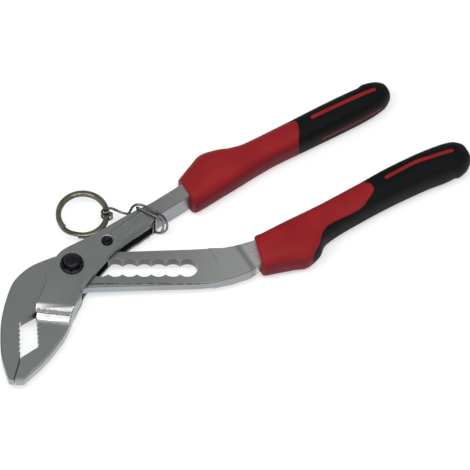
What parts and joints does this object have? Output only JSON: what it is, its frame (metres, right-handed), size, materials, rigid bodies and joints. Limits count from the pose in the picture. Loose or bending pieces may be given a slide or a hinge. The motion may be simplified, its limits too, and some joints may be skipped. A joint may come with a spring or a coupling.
{
  "type": "water pump pliers",
  "caption": "Water pump pliers with a box joint, a slotted lever set by a push button, toothed pipe jaws, two-colour handle sleeves and a tethered split ring.",
  "frame": {"origin": "on the far cheek's outer face, between the pivot and the stop pin", "axes": "+X along the slot towards the handles, +Z from the far cheek to the near cheek, parallel to the pivot axis, -Y towards the jaw tips"},
  "size_m": [0.2205, 0.1609, 0.0192],
  "materials": {
    "lever_steel": "satin",
    "pin_steel": "satin",
    "spring_steel": "satin",
    "ring_steel": "polished",
    "core_red": "satin",
    "cover_black": "matt"
  },
  "bodies": {
    "outer_lever": {"outer_lever": "lever_steel", "stop_pin": "pin_steel", "outer_grip_core": "core_red", "outer_grip_cover": "cover_black"},
    "pivot": {"pivot_collar": "pin_steel", "button_spring": "spring_steel"},
    "button": {"push_button": "pin_steel", "locking_pin": "pin_steel"},
    "inner_lever": {"inner_lever": "lever_steel", "inner_grip_core": "core_red", "inner_grip_cover": "cover_black"},
    "tether": {"tether_wire": "ring_steel"},
    "ring": {"split_ring": "ring_steel"}
  },
  "joints": [
    {"name": "jaw_pivot", "type": "hinge", "parent": "outer_lever", "child": "pivot", "pos_m": [-0.00897, -0.00628, 0.0064], "axis": [0, 0, -1], "range_deg": [0, 28]},
    {"name": "jaw_setting", "type": "slide", "parent": "pivot", "child": "inner_lever", "axis": [-1, 0, 0], "range_m": [0, 0.04062]},
    {"name": "button_press", "type": "slide", "parent": "pivot", "child": "button", "axis": [0, 0, -1], "range_m": [0, 0.003], "stiffness_N_per_m": 1500, "springref_m": -0.002, "deforming": ["button_spring"]},
    {"name": "tether_slide", "type": "slide", "parent": "outer_lever", "child": "tether", "axis": [0.8192, 0.5736, 0], "range_m": [0, 0.012]},
    {"name": "ring_swing", "type": "hinge", "parent": "tether", "child": "ring", "pos_m": [0.00736, 0.02414, 0.0064], "axis": [0, 1, 0], "range_deg": [-40, 40]}
  ]
}
